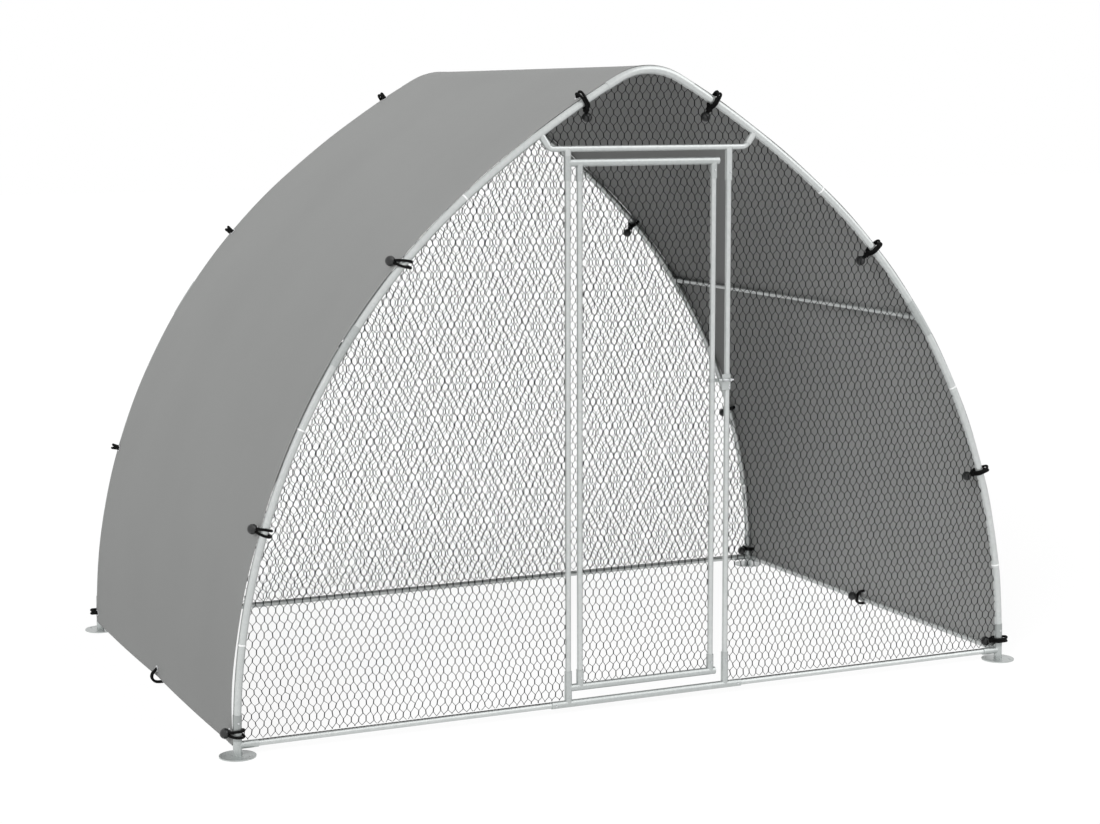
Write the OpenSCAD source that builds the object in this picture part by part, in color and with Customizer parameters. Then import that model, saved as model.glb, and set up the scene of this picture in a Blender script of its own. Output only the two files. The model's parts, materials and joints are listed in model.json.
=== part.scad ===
// Walk-in poultry run: two peaked tube arches, netted ends, a netted door and a cloth cover
// The origin is on the ground in the middle of the run, the door faces -Y, all sizes in millimetres

/* [Run] */
// Width between the foot centres of one arch
span = 2800; // [2600:10:3000]
// Distance from the front arch to the rear arch
depth = 1800; // [1400:10:2400]

/* [Arch] */
// Height of the straight foot of an arch
spring_h = 45; // [40:1:60]
// Bend radius of the arch legs
leg_r = 2134; // [2080:1:2200]
// Angle through which the legs bend, up to the seam with the shoulders
leg_turn = 50; // [49:0.5:51]
// Bend radius of the shoulders
shoulder_r = 3394; // [3200:1:3600]
// Bend radius of the peak
peak_r = 221; // [200:1:240]
// Outer diameter of the arch tube
tube_d = 25; // [22:0.5:28]
// Wall of the arch tube
tube_wall = 1; // [0.8:0.1:1.5]
// Length of the drawn-in end that plugs into the next tube
plug_len = 45; // [30:1:60]
// Wall of the sleeves that slip over the arch tube
sleeve_wall = 1.2; // [1:0.1:2]
// Angle on the arch of the seam above the foot
low_seam = 8.1; // [6:0.1:10]
// Angle on the arch of the seam at the middle of the leg
mid_seam = 26.3; // [22:0.1:28]
// Length of the peak connector along each shoulder
peak_sleeve_len = 50; // [48:1:70]

/* [Feet] */
// Diameter of the foot plate
foot_d = 114; // [100:1:130]
// Thickness of the foot plate
foot_t = 4; // [3:0.5:6]
// Height of the foot socket
foot_h = 130; // [110:1:160]
// Diameter of the stake holes in the foot plate
stake_d = 8; // [6:0.5:10]
// Diameter of the circle of the stake holes
stake_pcd = 84; // [70:1:92]
// Reach of the rail sockets from the foot centre
foot_reach = 65; // [55:1:80]

/* [Small tubes] */
// Outer diameter of rails, posts and door stiles
rod_d = 19; // [16:0.5:21]
// Outer diameter of the purlins and of the ridge tube
purlin_d = 16; // [14:0.5:19]
// Wall of the small tubes
rod_wall = 1; // [0.8:0.1:1.5]
// Wall of the sockets that take a small tube
socket_wall = 2.4; // [1.2:0.1:3]
// Height of the bottom rails above the ground
rail_h = 35; // [30:1:38]
// Angle on the arch where the purlins are carried
purlin_at = 34; // [32:0.1:37]
// Length of a purlin sleeve along the arch
purlin_sleeve_len = 140; // [100:1:160]
// Reach of the purlin and ridge sockets from the arch centre
purlin_reach = 100; // [60:1:130]

/* [Doorway] */
// Distance of a door post from the middle of the run
post_x = 289; // [270:1:310]
// Distance from a door post to the place where the header elbow meets the arch
header_over = 94; // [84:1:110]
// Drop of the header below that place
header_fall = 47; // [44:1:56]
// Bend radius of the header elbows
elbow_r = 25; // [22:1:30]
// Length of the header socket on the latch post
header_drop = 108; // [80:1:130]
// Length of the header stub on the hinge post
header_stub = 22; // [20:1:30]
// Length of the threshold socket on the latch post
sill_rise = 111; // [90:1:130]
// Length of the threshold stub on the hinge post
sill_stub = 20; // [18:1:24]
// Reach of the threshold past the door posts
sill_over = 60; // [50:1:80]

/* [Door] */
// Distance from the header to the top rail of the door
door_gap = 44; // [38:1:54]
// Height of the bottom rail of the door
door_bottom_h = 87; // [84:1:100]
// Distance from the hinge post to the hinge stile
hinge_gap = 42; // [36:1:50]
// Distance from the latch post to the latch stile
latch_gap = 56; // [52:1:60]
// Length of the stile sockets on the door rails
stile_socket = 57; // [45:1:70]
// Reach of the door rails past the latch stile
door_over = 18; // [14:1:20]
// Length of the hinge sleeves past the door rail
hinge_len = 56; // [45:1:70]

/* [Latch] */
// Height of the bolt
latch_h = 1066; // [900:1:1200]
// Width of the latch plate
plate_w = 31; // [28:1:36]
// Height of the latch plate
plate_h = 52; // [44:1:60]
// Thickness of the latch plate
plate_t = 2; // [1.5:0.1:3]
// Diameter of the bolt
bolt_d = 6; // [5:0.5:7]
// Travel of the bolt
bolt_travel = 12; // [8:1:12]
// Diameter of the finger knob
knob_d = 5; // [4:0.5:5.5]
// Length of the finger knob
knob_len = 16; // [10:1:20]
// Length of the eye on the keeper
keeper_len = 11; // [8:1:12]

/* [Netting] */
// Pitch of the net gaps
net_pitch = 186; // [150:1:260]
// Width of a net strand
net_wire = 3; // [2:0.5:5]
// Thickness of the net
net_t = 2; // [1.5:0.5:3]
// Width of the edge band of the net
net_edge = 4; // [3:0.5:8]

/* [Cover] */
// Thickness of the cover cloth
cover_t = 1.2; // [0.8:0.1:2]
// Height of the lower edge of the cover
cover_low = 36; // [30:1:40]
// Flat strips of the cover along each leg bend
leg_strips = 10; // [8:1:14]
// Flat strips of the cover along each shoulder bend
shoulder_strips = 5; // [4:1:8]
// Flat strips of the cover along each half of the peak bend
peak_strips = 4; // [3:1:8]

/* [Ties] */
// Diameter of the elastic cord
cord_d = 6; // [4:0.5:6.5]
// Diameter of the tie balls
ball_d = 32; // [24:1:32]
// Distance of an eyelet from the tube that it is tied to
eyelet_in = 28; // [27:1:40]
// Bore of an eyelet
eyelet_bore = 13; // [10:0.5:14]
// Outer diameter of an eyelet
eyelet_d = 23; // [20:0.5:25]
// Height of the lowest ties
tie_low_h = 72; // [68:1:90]
// Length of cord between a loop and its ball
ball_neck = 8; // [4:1:16]
// Length of cord between a loop and its ball on the shoulders
shoulder_neck = 18; // [8:1:24]
// Length of cord between a loop and its ball outside the cover
outer_neck = 2.5; // [2:0.1:2.8]

/* [Screws] */
// Diameter of a screw head
head_d = 7.5; // [6:0.5:9]
// Height of a screw head
head_h = 2.4; // [2:0.1:3]
// Diameter of a screw shank
shank_d = 3.5; // [3:0.1:4]
// Length of a screw shank
shank_len = 6; // [5:0.5:7]

/* [Hidden] */
$fa = 1;
$fs = 1.5;
left = -1;
right = 1;
front = -1;
rear = 1;

// Clearance between pieces that plug or slip together, and the overrun of every cut
fit = 0.3;
over = 1;

// Arch: the leg bend, the shoulder bend and the peak bend meet at the same tangent
leg_c = [span / 2 - leg_r, spring_h];
shoulder_c = leg_c + (leg_r - shoulder_r) * [cos(leg_turn), sin(leg_turn)];
peak_turn = acos(-shoulder_c.x / (shoulder_r - peak_r));
peak_c = [0, shoulder_c.y + (shoulder_r - peak_r) * sin(peak_turn)];
peak_h = peak_c.y + peak_r;
foot_turn = asin((foot_h - spring_h) / leg_r);
peak_seam = peak_turn - turn(peak_sleeve_len, shoulder_r);
tube_bore = tube_d - 2 * tube_wall;
plug_d = tube_bore - 2 * fit;
plug_bore = plug_d - 2 * tube_wall;
sleeve_bore = tube_d + 2 * fit;
sleeve_d = sleeve_bore + 2 * sleeve_wall;

// Small tubes and their sockets
rod_bore = rod_d - 2 * rod_wall;
rod_plug_d = rod_bore - 2 * fit;
rod_plug_bore = rod_plug_d - 2 * rod_wall;
socket_bore = rod_d + 2 * fit;
socket_d = socket_bore + 2 * socket_wall;
purlin_socket_bore = purlin_d + 2 * fit;
purlin_socket_d = purlin_socket_bore + 2 * socket_wall;
rail_start = sleeve_d / 2 + 2 * socket_wall;
sill_end = post_x + sill_over;
sill_seat = sill_over / 3 * 2;

// Header elbow: straight from the arch along its normal, then bent level
header_at = acos((post_x + header_over - shoulder_c.x) / shoulder_r);
header_p = arch_point(header_at);
header_h = header_p.y - header_fall;
elbow_run = (header_p.y - header_h) / sin(header_at);
elbow_v = header_p - elbow_run * [cos(header_at), sin(header_at)];
elbow_tan = elbow_r * tan(header_at / 2);
elbow_x = elbow_v.x - elbow_tan;
elbow_plug = 30;

// Door: its rails swing past the edge of the front net
door_top_h = header_h - door_gap;
swing_room = socket_d / 8;
hinge_x = -post_x;
stile_left = hinge_x + hinge_gap;
stile_right = post_x - latch_gap;
door_end = stile_right + door_over;
stile_low = door_bottom_h + socket_d / 2 + fit;
stile_high = door_top_h - socket_d / 2 - fit;
hinge_top = header_h - header_stub - fit;
hinge_low = rail_h + sill_stub + fit;

// Latch: the plate bears on the front of the latch post, the bolt runs in two guides on it
plate_y = -(rod_d / 2 + fit);
plate_edge = 24;
plate_x = post_x - plate_edge;
plate_drop = 7;
plate_low = latch_h - plate_h / 2 - plate_drop;
bolt_y = plate_y - plate_t - fit - bolt_d / 2;
guide_len = 5;
guide_wall = 2.4;
guide_d = bolt_d + 2 * fit + 2 * guide_wall;
guide_far = plate_x + plate_w - guide_len;
bolt_tip = plate_x - over;
bolt_end = guide_far + guide_len / 2 + bolt_travel;
knob_x = guide_far - knob_d / 2 - over;
keeper_gap = 3;
keeper_end = bolt_tip - keeper_gap;
keeper_band_h = 12;
keeper_tab_t = 3;
latch_screw_gap = 10;
latch_screw_x = plate_x + plate_w - head_d / 2 - over;
latch_screw_low = plate_low + head_d / 2 + over;

// Net gaps are tall six-sided meshes: their height and their upright sides as shares of the pitch
mesh_h_share = 1.44;
mesh_side_share = 0.52;
mesh_row = net_pitch * (mesh_h_share + mesh_side_share) / 2;
net_low = rail_h + socket_d / 2;

// Cover and ties: the cloth clears the sleeves, the cord runs round the tube and through the eyelet
cover_in = sleeve_d / 2 + fit;
cover_out = cover_in + cover_t;
cover_ease = leg_r * (1 - cos(leg_turn / leg_strips / 2));
eyelet_lip = 1;
eyelet_hole = eyelet_bore + 2 * eyelet_lip + fit;
cord_in = -(sleeve_d + cord_d) / 2 - fit;
cord_out = cover_out + cover_ease + eyelet_lip + cord_d / 2 + 2 * fit;
cord_bend = 5;
tie_low = asin((tie_low_h - spring_h) / leg_r);
tie_turns = [58.5, 42.2, 17.7, tie_low];
ball_in = net_t / 2 + ball_d / 2 + 2 * over;
outside_balls = [[left, front, 1], [left, front, 2], [left, front, 3]];

// Screw places: [x, z] on the front of the doorway and of the door, seen from the front
socket_screw = 26;
foot_screw = 24;
post_screws = [[post_x, header_h - header_drop + socket_screw], [post_x, rail_h + sill_rise - socket_screw]];
sill_screws = [[-sill_end + socket_screw / 2, rail_h], [sill_end - socket_screw / 2, rail_h]];
latch_screws = [[latch_screw_x, latch_screw_low], [latch_screw_x, latch_screw_low + latch_screw_gap]];
stile_screws = [for (x = [stile_left, stile_right], z = [door_top_h - stile_socket + socket_screw,
    door_bottom_h + stile_socket - socket_screw]) [x, z]];

steel = [0.80, 0.81, 0.81];
fitting = [0.70, 0.72, 0.72];
wire = [0.25, 0.26, 0.26];
cloth = [0.56, 0.56, 0.56];
rubber = [0.09, 0.09, 0.09];

// A point of the right half of the arch, at an angle on it and a distance outside its centre line
function arch_point(a, out = 0) =
    a <= leg_turn ? leg_c + (leg_r + out) * [cos(a), sin(a)]
    : a <= peak_turn ? shoulder_c + (shoulder_r + out) * [cos(a), sin(a)]
    : peak_c + (peak_r + out) * [cos(a), sin(a)];

// The angle that a length takes on a bend
function turn(len, r) = len / r * 180 / PI;

// Points of the right half at even steps on each bend, and both halves as one outline down to the ground
function half_outline(out) = [
    [span / 2 + out, 0],
    each [for (i = [0 : leg_strips - 1]) arch_point(leg_turn * i / leg_strips, out)],
    each [for (i = [0 : shoulder_strips - 1])
        arch_point(leg_turn + (peak_turn - leg_turn) * i / shoulder_strips, out)],
    each [for (i = [0 : peak_strips - 1]) arch_point(peak_turn + (90 - peak_turn) * i / peak_strips, out)]
];

function arch_outline(out) = let (half = half_outline(out)) [
    each half,
    [0, peak_h + out],
    each [for (i = [1 : len(half)]) [-half[len(half) - i].x, half[len(half) - i].y]]
];

module ring(d_out, d_in) {
    difference() {
        circle(d = d_out);
        circle(d = d_in);
    }
}

// Carries a section round a bend in the plane of the arch
module sweep(c, r, a0, a1) {
    translate([c.x, 0, c.y])
        rotate([90, 0, 0])
            rotate([0, 0, a0])
                rotate_extrude(angle = a1 - a0)
                    translate([r, 0])
                        children();
}

// Turns Z along X, against X, and along Y
module along_x() {
    rotate([0, 90, 0]) children();
}

module along_x_back() {
    rotate([0, -90, 0]) children();
}

module along_y() {
    rotate([-90, 0, 0]) children();
}

// Puts a right front piece, drawn with the arch at y = 0, at one corner of the run
module corner(side, end) {
    mirror([side < 0 ? 1 : 0, 0, 0])
        mirror([0, end > 0 ? 1 : 0, 0])
            translate([0, -depth / 2, 0])
                children();
}

module both_sides() {
    children();
    mirror([1, 0, 0]) children();
}

module at_front() {
    translate([0, -depth / 2, 0]) children();
}

module tube_x(x0, x1, d_out, d_in) {
    translate([x0, 0, 0])
        along_x()
            linear_extrude(x1 - x0)
                ring(d_out, d_in);
}

module tube_y(y0, y1, d_out, d_in) {
    translate([0, y0, 0])
        along_y()
            linear_extrude(y1 - y0)
                ring(d_out, d_in);
}

module tube_z(z0, z1, d_out, d_in) {
    translate([0, 0, z0])
        linear_extrude(z1 - z0)
            ring(d_out, d_in);
}

// An arch tube between two angles on one bend, with a drawn-in plug past its upper end
module arch_tube(c, r, a0, a1, plug) {
    cut = turn(over, r);
    difference() {
        union() {
            sweep(c, r, a0, a1) circle(d = tube_d);
            if (plug > 0)
                sweep(c, r, a1 - cut, a1 + turn(plug, r)) circle(d = plug_d);
        }
        sweep(c, r, a0 - cut, plug > 0 ? a1 - 2 * cut : a1 + cut) circle(d = tube_bore);
        if (plug > 0)
            sweep(c, r, a1 - 3 * cut, a1 + turn(plug, r) + cut) circle(d = plug_bore);
    }
}

// Screws that go in along +Y from the front of a tube, and the holes for them
module screw() {
    along_y() {
        cylinder(d = shank_d, h = shank_len);
        translate([0, 0, -head_h]) cylinder(d1 = head_d - head_h, d2 = head_d, h = head_h);
    }
}

module screw_hole() {
    along_y()
        translate([0, 0, -over])
            cylinder(d = shank_d + 2 * fit, h = shank_len + over + fit);
}

module on_front(places, d) {
    for (p = places)
        translate([p.x, -d / 2 - fit, p.y])
            children();
}

module on_foot(side, end) {
    p = arch_point(turn(foot_h - foot_screw - spring_h, leg_r));
    corner(side, end)
        translate([p.x, -sleeve_d / 2 - fit, p.y])
            children();
}

module foot(side, end) {
    color(fitting)
        difference() {
            corner(side, end) {
                difference() {
                    union() {
                        translate([span / 2, 0, 0]) {
                            cylinder(d = foot_d, h = foot_t);
                            cylinder(d = sleeve_d, h = spring_h);
                            translate([0, 0, rail_h]) {
                                along_y() cylinder(d = socket_d, h = foot_reach);
                                along_x_back() cylinder(d = socket_d, h = foot_reach);
                            }
                        }
                        sweep(leg_c, leg_r, 0, foot_turn) circle(d = sleeve_d);
                    }
                    translate([span / 2, 0, 0]) {
                        translate([0, 0, foot_t]) cylinder(d = sleeve_bore, h = spring_h - foot_t);
                        translate([0, 0, rail_h]) {
                            translate([0, rail_start, 0])
                                along_y()
                                    cylinder(d = socket_bore, h = foot_reach);
                            translate([-rail_start, 0, 0])
                                along_x_back()
                                    cylinder(d = socket_bore, h = foot_reach);
                        }
                    }
                    sweep(leg_c, leg_r, 0, foot_turn + turn(over, leg_r)) circle(d = sleeve_bore);
                }
            }
            for (a = [135, -45])
                translate([side * span / 2, end * depth / 2, -over])
                    rotate([0, 0, a])
                        translate([stake_pcd / 2, 0, 0])
                            cylinder(d = stake_d, h = foot_t + 2 * over);
            on_foot(side, end) screw_hole();
        }
}

// Leg tube: straight in the foot, then bent up to its seam
module leg(side, end) {
    cut = turn(over, leg_r);
    plug_end = low_seam + turn(plug_len, leg_r);
    color(steel)
        difference() {
            corner(side, end)
                difference() {
                    union() {
                        translate([span / 2, 0, foot_t + fit])
                            cylinder(d = tube_d, h = spring_h - foot_t - fit);
                        sweep(leg_c, leg_r, 0, low_seam) circle(d = tube_d);
                        sweep(leg_c, leg_r, low_seam - cut, plug_end) circle(d = plug_d);
                    }
                    translate([span / 2, 0, 0]) cylinder(d = tube_bore, h = spring_h);
                    sweep(leg_c, leg_r, 0, low_seam - 2 * cut) circle(d = tube_bore);
                    sweep(leg_c, leg_r, low_seam - 3 * cut, plug_end + cut) circle(d = plug_bore);
                }
            on_foot(side, end) screw_hole();
        }
}

module flank(side, end) {
    color(steel) corner(side, end) arch_tube(leg_c, leg_r, low_seam, mid_seam, plug_len);
}

module haunch(side, end) {
    color(steel) corner(side, end) arch_tube(leg_c, leg_r, mid_seam, leg_turn, plug_len);
}

module shoulder(side, end) {
    color(steel)
        corner(side, end)
            arch_tube(shoulder_c, shoulder_r, leg_turn, peak_seam + turn(plug_len, shoulder_r), 0);
}

// Sleeve on the arch with a socket for the purlin
module purlin_tee(side, end) {
    half = turn(purlin_sleeve_len / 2, leg_r);
    cut = turn(over, leg_r);
    p = arch_point(purlin_at);
    color(fitting)
        corner(side, end)
            difference() {
                union() {
                    sweep(leg_c, leg_r, purlin_at - half, purlin_at + half) circle(d = sleeve_d);
                    translate([p.x, 0, p.y]) along_y() cylinder(d = purlin_socket_d, h = purlin_reach);
                }
                sweep(leg_c, leg_r, purlin_at - half - cut, purlin_at + half + cut) circle(d = sleeve_bore);
                translate([p.x, rail_start, p.y])
                    along_y()
                        cylinder(d = purlin_socket_bore, h = purlin_reach);
            }
}

// Bent tube with a sleeve at each end that joins the two halves of an arch and carries the ridge tube
module peak_connector(end) {
    cut = turn(over, shoulder_r);
    peak_cut = turn(over, peak_r);
    color(fitting)
        corner(right, end)
            difference() {
                union() {
                    both_sides()
                        sweep(shoulder_c, shoulder_r, peak_seam, peak_turn + cut)
                            circle(d = sleeve_d);
                    sweep(peak_c, peak_r, peak_turn - peak_cut, 180 - peak_turn + peak_cut)
                        circle(d = sleeve_d - 2 * fit);
                    translate([0, 0, peak_h]) along_y() cylinder(d = purlin_socket_d, h = purlin_reach);
                }
                both_sides()
                    sweep(shoulder_c, shoulder_r, peak_seam - cut, peak_turn - cut)
                        circle(d = sleeve_bore);
                sweep(peak_c, peak_r, peak_turn - 3 * peak_cut, 180 - peak_turn + 3 * peak_cut)
                    circle(d = tube_bore);
                translate([0, rail_start, peak_h])
                    along_y()
                        cylinder(d = purlin_socket_bore, h = purlin_reach);
            }
}

// Tube that runs from the front arch to the rear arch at a place in the plane of the arch
module long_tube(p, d) {
    end = depth / 2 - rail_start - fit;
    color(steel) translate([p.x, 0, p.y]) tube_y(-end, end, d, d - 2 * rod_wall);
}

module purlin(side) {
    p = arch_point(purlin_at);
    long_tube([side * p.x, p.y], purlin_d);
}

module side_rail(side) {
    long_tube([side * span / 2, rail_h], rod_d);
}

module ridge_tube() {
    long_tube([0, peak_h], purlin_d);
}

// Elbow that hangs the header from an arch: a stub coped to the arch, a bend and a plug for the header
module header_elbow(side) {
    reach = turn(sleeve_d, shoulder_r);
    cut = turn(over, elbow_r);
    c = [elbow_x, header_h + elbow_r];
    color(steel)
        corner(side, front)
            difference() {
                union() {
                    at_stub(elbow_tan - over)
                        cylinder(d = socket_d, h = elbow_run - elbow_tan + over);
                    sweep(c, elbow_r, -90, header_at - 90) circle(d = rod_d);
                    translate([elbow_x - elbow_plug, 0, header_h])
                        along_x()
                            cylinder(d = rod_plug_d, h = elbow_plug + over);
                }
                at_stub(elbow_tan) cylinder(d = rod_bore, h = elbow_run);
                sweep(c, elbow_r, -90, header_at - 90 + cut) circle(d = rod_plug_bore);
                translate([elbow_x - elbow_plug - over, 0, header_h])
                    along_x()
                        cylinder(d = rod_plug_bore - 2 * fit, h = elbow_plug + 2 * over);
                sweep(shoulder_c, shoulder_r, header_at - reach, header_at + reach) circle(d = sleeve_bore);
            }
}

// Along the stub of the right elbow, at a distance from its bend
module at_stub(run) {
    translate([elbow_v.x, 0, elbow_v.y])
        rotate([0, 90 - header_at, 0])
            translate([0, 0, run])
                children();
}

// Cross tube over the door, with a socket for the latch post and a stub for the hinge post
module header() {
    half = elbow_x - fit;
    color(steel)
        at_front()
            difference() {
                union() {
                    translate([-half, 0, header_h]) along_x() cylinder(d = rod_d, h = 2 * half);
                    translate([post_x, 0, header_h - header_drop]) cylinder(d = socket_d, h = header_drop);
                    translate([hinge_x, 0, header_h - header_stub]) cylinder(d = socket_d, h = header_stub);
                }
                translate([-half - over, 0, header_h])
                    along_x()
                        cylinder(d = rod_bore, h = 2 * half + 2 * over);
                translate([post_x, 0, header_h - header_drop - over])
                    cylinder(d = socket_bore, h = header_drop + over - rod_d / 2);
                translate([hinge_x, 0, header_h - header_stub - over])
                    cylinder(d = socket_bore, h = header_stub + over - rod_d / 2);
                on_front([post_screws[0]], socket_d) screw_hole();
            }
}

module post(x) {
    color(steel)
        at_front()
            difference() {
                translate([x, 0, 0]) tube_z(rail_h, header_h - rod_d / 2 - fit, rod_d, rod_bore);
                on_front(post_screws, socket_d) screw_hole();
                on_front(latch_screws, rod_d + 2 * plate_t) screw_hole();
            }
}

// Tube under the door, open at both ends for the front rails
module threshold() {
    color(fitting)
        at_front()
            difference() {
                union() {
                    translate([-sill_end, 0, rail_h]) along_x() cylinder(d = socket_d, h = 2 * sill_end);
                    translate([post_x, 0, rail_h]) cylinder(d = socket_d, h = sill_rise);
                    translate([hinge_x, 0, rail_h]) cylinder(d = socket_d, h = sill_stub);
                }
                translate([-sill_end - over, 0, rail_h])
                    along_x()
                        cylinder(d = socket_bore, h = 2 * sill_end + 2 * over);
                for (x = [-post_x, post_x])
                    translate([x, 0, rail_h]) cylinder(d = socket_bore, h = sill_rise + over);
                on_front([post_screws[1], each sill_screws], socket_d) screw_hole();
            }
}

module front_rail(side) {
    color(steel)
        at_front()
            difference() {
                mirror([side < 0 ? 1 : 0, 0, 0])
                    translate([0, 0, rail_h])
                        tube_x(sill_end - sill_seat, span / 2 - rail_start - fit, rod_d, rod_bore);
                on_front(sill_screws, socket_d) screw_hole();
            }
}

module rear_rail() {
    half = span / 2 - rail_start - fit;
    color(steel) translate([0, depth / 2, rail_h]) tube_x(-half, half, rod_d, rod_bore);
}

// A door rail with its two stile sockets and its hinge sleeve; up is 1 where they point up
module door_rail(h, hinge_from, hinge_to, up) {
    socket_z = up > 0 ? h : h - stile_socket;
    bore_z = up > 0 ? h + socket_d / 2 : h - stile_socket - over;
    at_front()
        difference() {
            union() {
                translate([hinge_x, 0, h]) along_x() cylinder(d = socket_d, h = door_end - hinge_x);
                for (x = [stile_left, stile_right])
                    translate([x, 0, socket_z]) cylinder(d = socket_d, h = stile_socket);
                translate([hinge_x, 0, hinge_from]) cylinder(d = socket_d, h = hinge_to - hinge_from);
            }
            translate([stile_left - hinge_gap / 2, 0, h])
                along_x()
                    cylinder(d = socket_bore, h = door_end - stile_left + hinge_gap / 2 - socket_wall);
            for (x = [stile_left, stile_right])
                translate([x, 0, bore_z]) cylinder(d = socket_bore, h = stile_socket + over - socket_d / 2);
            translate([hinge_x, 0, hinge_from - over])
                cylinder(d = socket_bore, h = hinge_to - hinge_from + 2 * over);
            on_front(stile_screws, socket_d) screw_hole();
        }
}

module door_top_rail() {
    color(fitting) door_rail(door_top_h, door_top_h - hinge_len, hinge_top, -1);
}

module door_bottom_rail() {
    color(fitting) door_rail(door_bottom_h, hinge_low, door_bottom_h + hinge_len, 1);
}

module door_stile(x) {
    color(steel)
        at_front()
            difference() {
                translate([x, 0, 0]) tube_z(stile_low, stile_high, rod_d, rod_bore);
                on_front(stile_screws, socket_d) screw_hole();
            }
}

// Six-sided gaps in staggered rows over the whole end of the run
module mesh_gaps() {
    half = (net_pitch - net_wire) / 2;
    tall = half * mesh_h_share;
    flat = half * mesh_side_share;
    rows = ceil(peak_h / mesh_row);
    cols = ceil(span / net_pitch / 2);
    for (row = [0 : rows], col = [-cols : cols])
        translate([(col + (row % 2) / 2) * net_pitch, net_low + row * mesh_row])
            polygon([[0, tall], [half, flat], [half, -flat], [0, -tall], [-half, -flat], [-half, flat]]);
}

// Net between the arch and the ground rail, kept a distance from all that it meets
module end_region(gap) {
    tie_half = cord_d / 2 + fit + gap;
    difference() {
        polygon(arch_outline(-sleeve_d / 2 - fit - gap));
        translate([-span / 2, -over]) square([span, net_low + fit + gap + over]);
        for (side = [0, 1], a = tie_turns)
            mirror([side, 0])
                translate(arch_point(a, cord_in))
                    rotate(a)
                        translate([-tie_half, -tie_half])
                            square([sleeve_d, 2 * tie_half]);
    }
}

module front_region(gap) {
    reach = socket_d / 2 + swing_room + fit + gap;
    rod = rod_d / 2 + 2 * fit + gap;
    stub = socket_d / 2 + fit + gap;
    stub_dir = [cos(header_at), sin(header_at)];
    bend_end = elbow_v + elbow_tan * stub_dir;
    bend_in = bend_end + (rod - fit) * [-stub_dir.y, stub_dir.x];
    difference() {
        end_region(gap);
        translate([-post_x - reach, 0]) square([2 * post_x + 2 * reach, header_h]);
        translate([-elbow_v.x, header_h - rod]) square([2 * elbow_v.x, 2 * rod]);
        for (side = [0, 1])
            mirror([side, 0]) {
                translate(elbow_v)
                    rotate(header_at)
                        translate([-rod, -stub])
                            square([elbow_run + rod, 2 * stub]);
                polygon([[elbow_x, header_h], elbow_v, bend_end, bend_in, [elbow_x, header_h + rod - fit]]);
            }
    }
}

module door_region(gap) {
    reach = socket_d / 2 + fit + gap;
    translate([stile_left + reach, door_bottom_h + reach])
        square([stile_right - stile_left - 2 * reach, door_top_h - door_bottom_h - 2 * reach]);
}

// A net of one region: the edge band stays whole, the rest is cut to strands
module net() {
    color(wire)
        translate([0, net_t / 2, 0])
            rotate([90, 0, 0])
                linear_extrude(net_t)
                    difference() {
                        children(0);
                        intersection() {
                            children(1);
                            mesh_gaps();
                        }
                    }
}

// The gable above the header and between its elbows
module gable_area() {
    top = elbow_v + 2 * elbow_run * [cos(header_at), sin(header_at)];
    polygon([elbow_v, top, [0, 2 * peak_h], [-top.x, top.y], [-elbow_v.x, elbow_v.y]]);
}

module side_region(side, gap) {
    intersection() {
        difference() {
            front_region(gap);
            gable_area();
        }
        translate([side > 0 ? 0 : -span, 0]) square([span, peak_h]);
    }
}

module gable_region(gap) {
    intersection() {
        front_region(gap);
        gable_area();
    }
}

module front_net(side) {
    at_front()
        net() {
            side_region(side, 0);
            side_region(side, net_edge);
        }
}

module gable_net() {
    at_front()
        net() {
            gable_region(0);
            gable_region(net_edge);
        }
}

module rear_net() {
    translate([0, depth / 2, 0])
        net() {
            end_region(0);
            end_region(net_edge);
        }
}

module door_net() {
    at_front()
        net() {
            door_region(0);
            door_region(net_edge);
        }
}

// Plate with two guides for the bolt
module latch_plate() {
    color(fitting)
        at_front()
            difference() {
                union() {
                    translate([plate_x, plate_y - plate_t, plate_low]) cube([plate_w, plate_t, plate_h]);
                    for (x = [plate_x, guide_far])
                        translate([x, bolt_y, latch_h]) {
                            along_x() cylinder(d = guide_d, h = guide_len);
                            translate([0, 0, -guide_d / 2]) cube([guide_len, plate_y - bolt_y, guide_d]);
                        }
                }
                translate([plate_x - over, bolt_y, latch_h])
                    along_x()
                        cylinder(d = bolt_d + 2 * fit, h = plate_w + 2 * over);
                on_front(latch_screws, rod_d + 2 * plate_t) screw_hole();
            }
}

module latch_bolt() {
    color(steel)
        at_front()
            translate([0, bolt_y, latch_h]) {
                translate([bolt_tip, 0, 0]) along_x() cylinder(d = bolt_d, h = bolt_end - bolt_tip);
                translate([knob_x, -knob_len, 0]) along_y() cylinder(d = knob_d, h = knob_len);
                translate([knob_x, -knob_len, 0]) sphere(d = knob_d + 2 * over);
            }
}

// Band round the latch stile with an eye that the bolt enters
module latch_keeper() {
    eye_x = keeper_end - keeper_len;
    band_z = latch_h - keeper_band_h / 2;
    color(fitting)
        at_front()
            difference() {
                union() {
                    translate([stile_right, 0, band_z]) cylinder(d = socket_d, h = keeper_band_h);
                    translate([eye_x, bolt_y, latch_h]) along_x() cylinder(d = guide_d, h = keeper_len);
                    translate([stile_right, -keeper_tab_t / 2 - socket_d / 4, band_z])
                        cube([keeper_end - stile_right, keeper_tab_t, keeper_band_h]);
                    translate([eye_x, bolt_y, band_z])
                        cube([keeper_len, -bolt_y - socket_d / 4, keeper_band_h]);
                }
                translate([stile_right, 0, band_z - over])
                    cylinder(d = socket_bore, h = keeper_band_h + 2 * over);
                translate([eye_x - over, bolt_y, latch_h])
                    along_x()
                        cylinder(d = bolt_d + 2 * fit, h = keeper_len + 2 * over);
            }
}

module frame_screws() {
    color(steel) {
        at_front() {
            on_front(post_screws, socket_d) screw();
            on_front(sill_screws, socket_d) screw();
            on_front(latch_screws, rod_d + 2 * plate_t) screw();
        }
        for (side = [left, right], end = [front, rear])
            on_foot(side, end) screw();
    }
}

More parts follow.
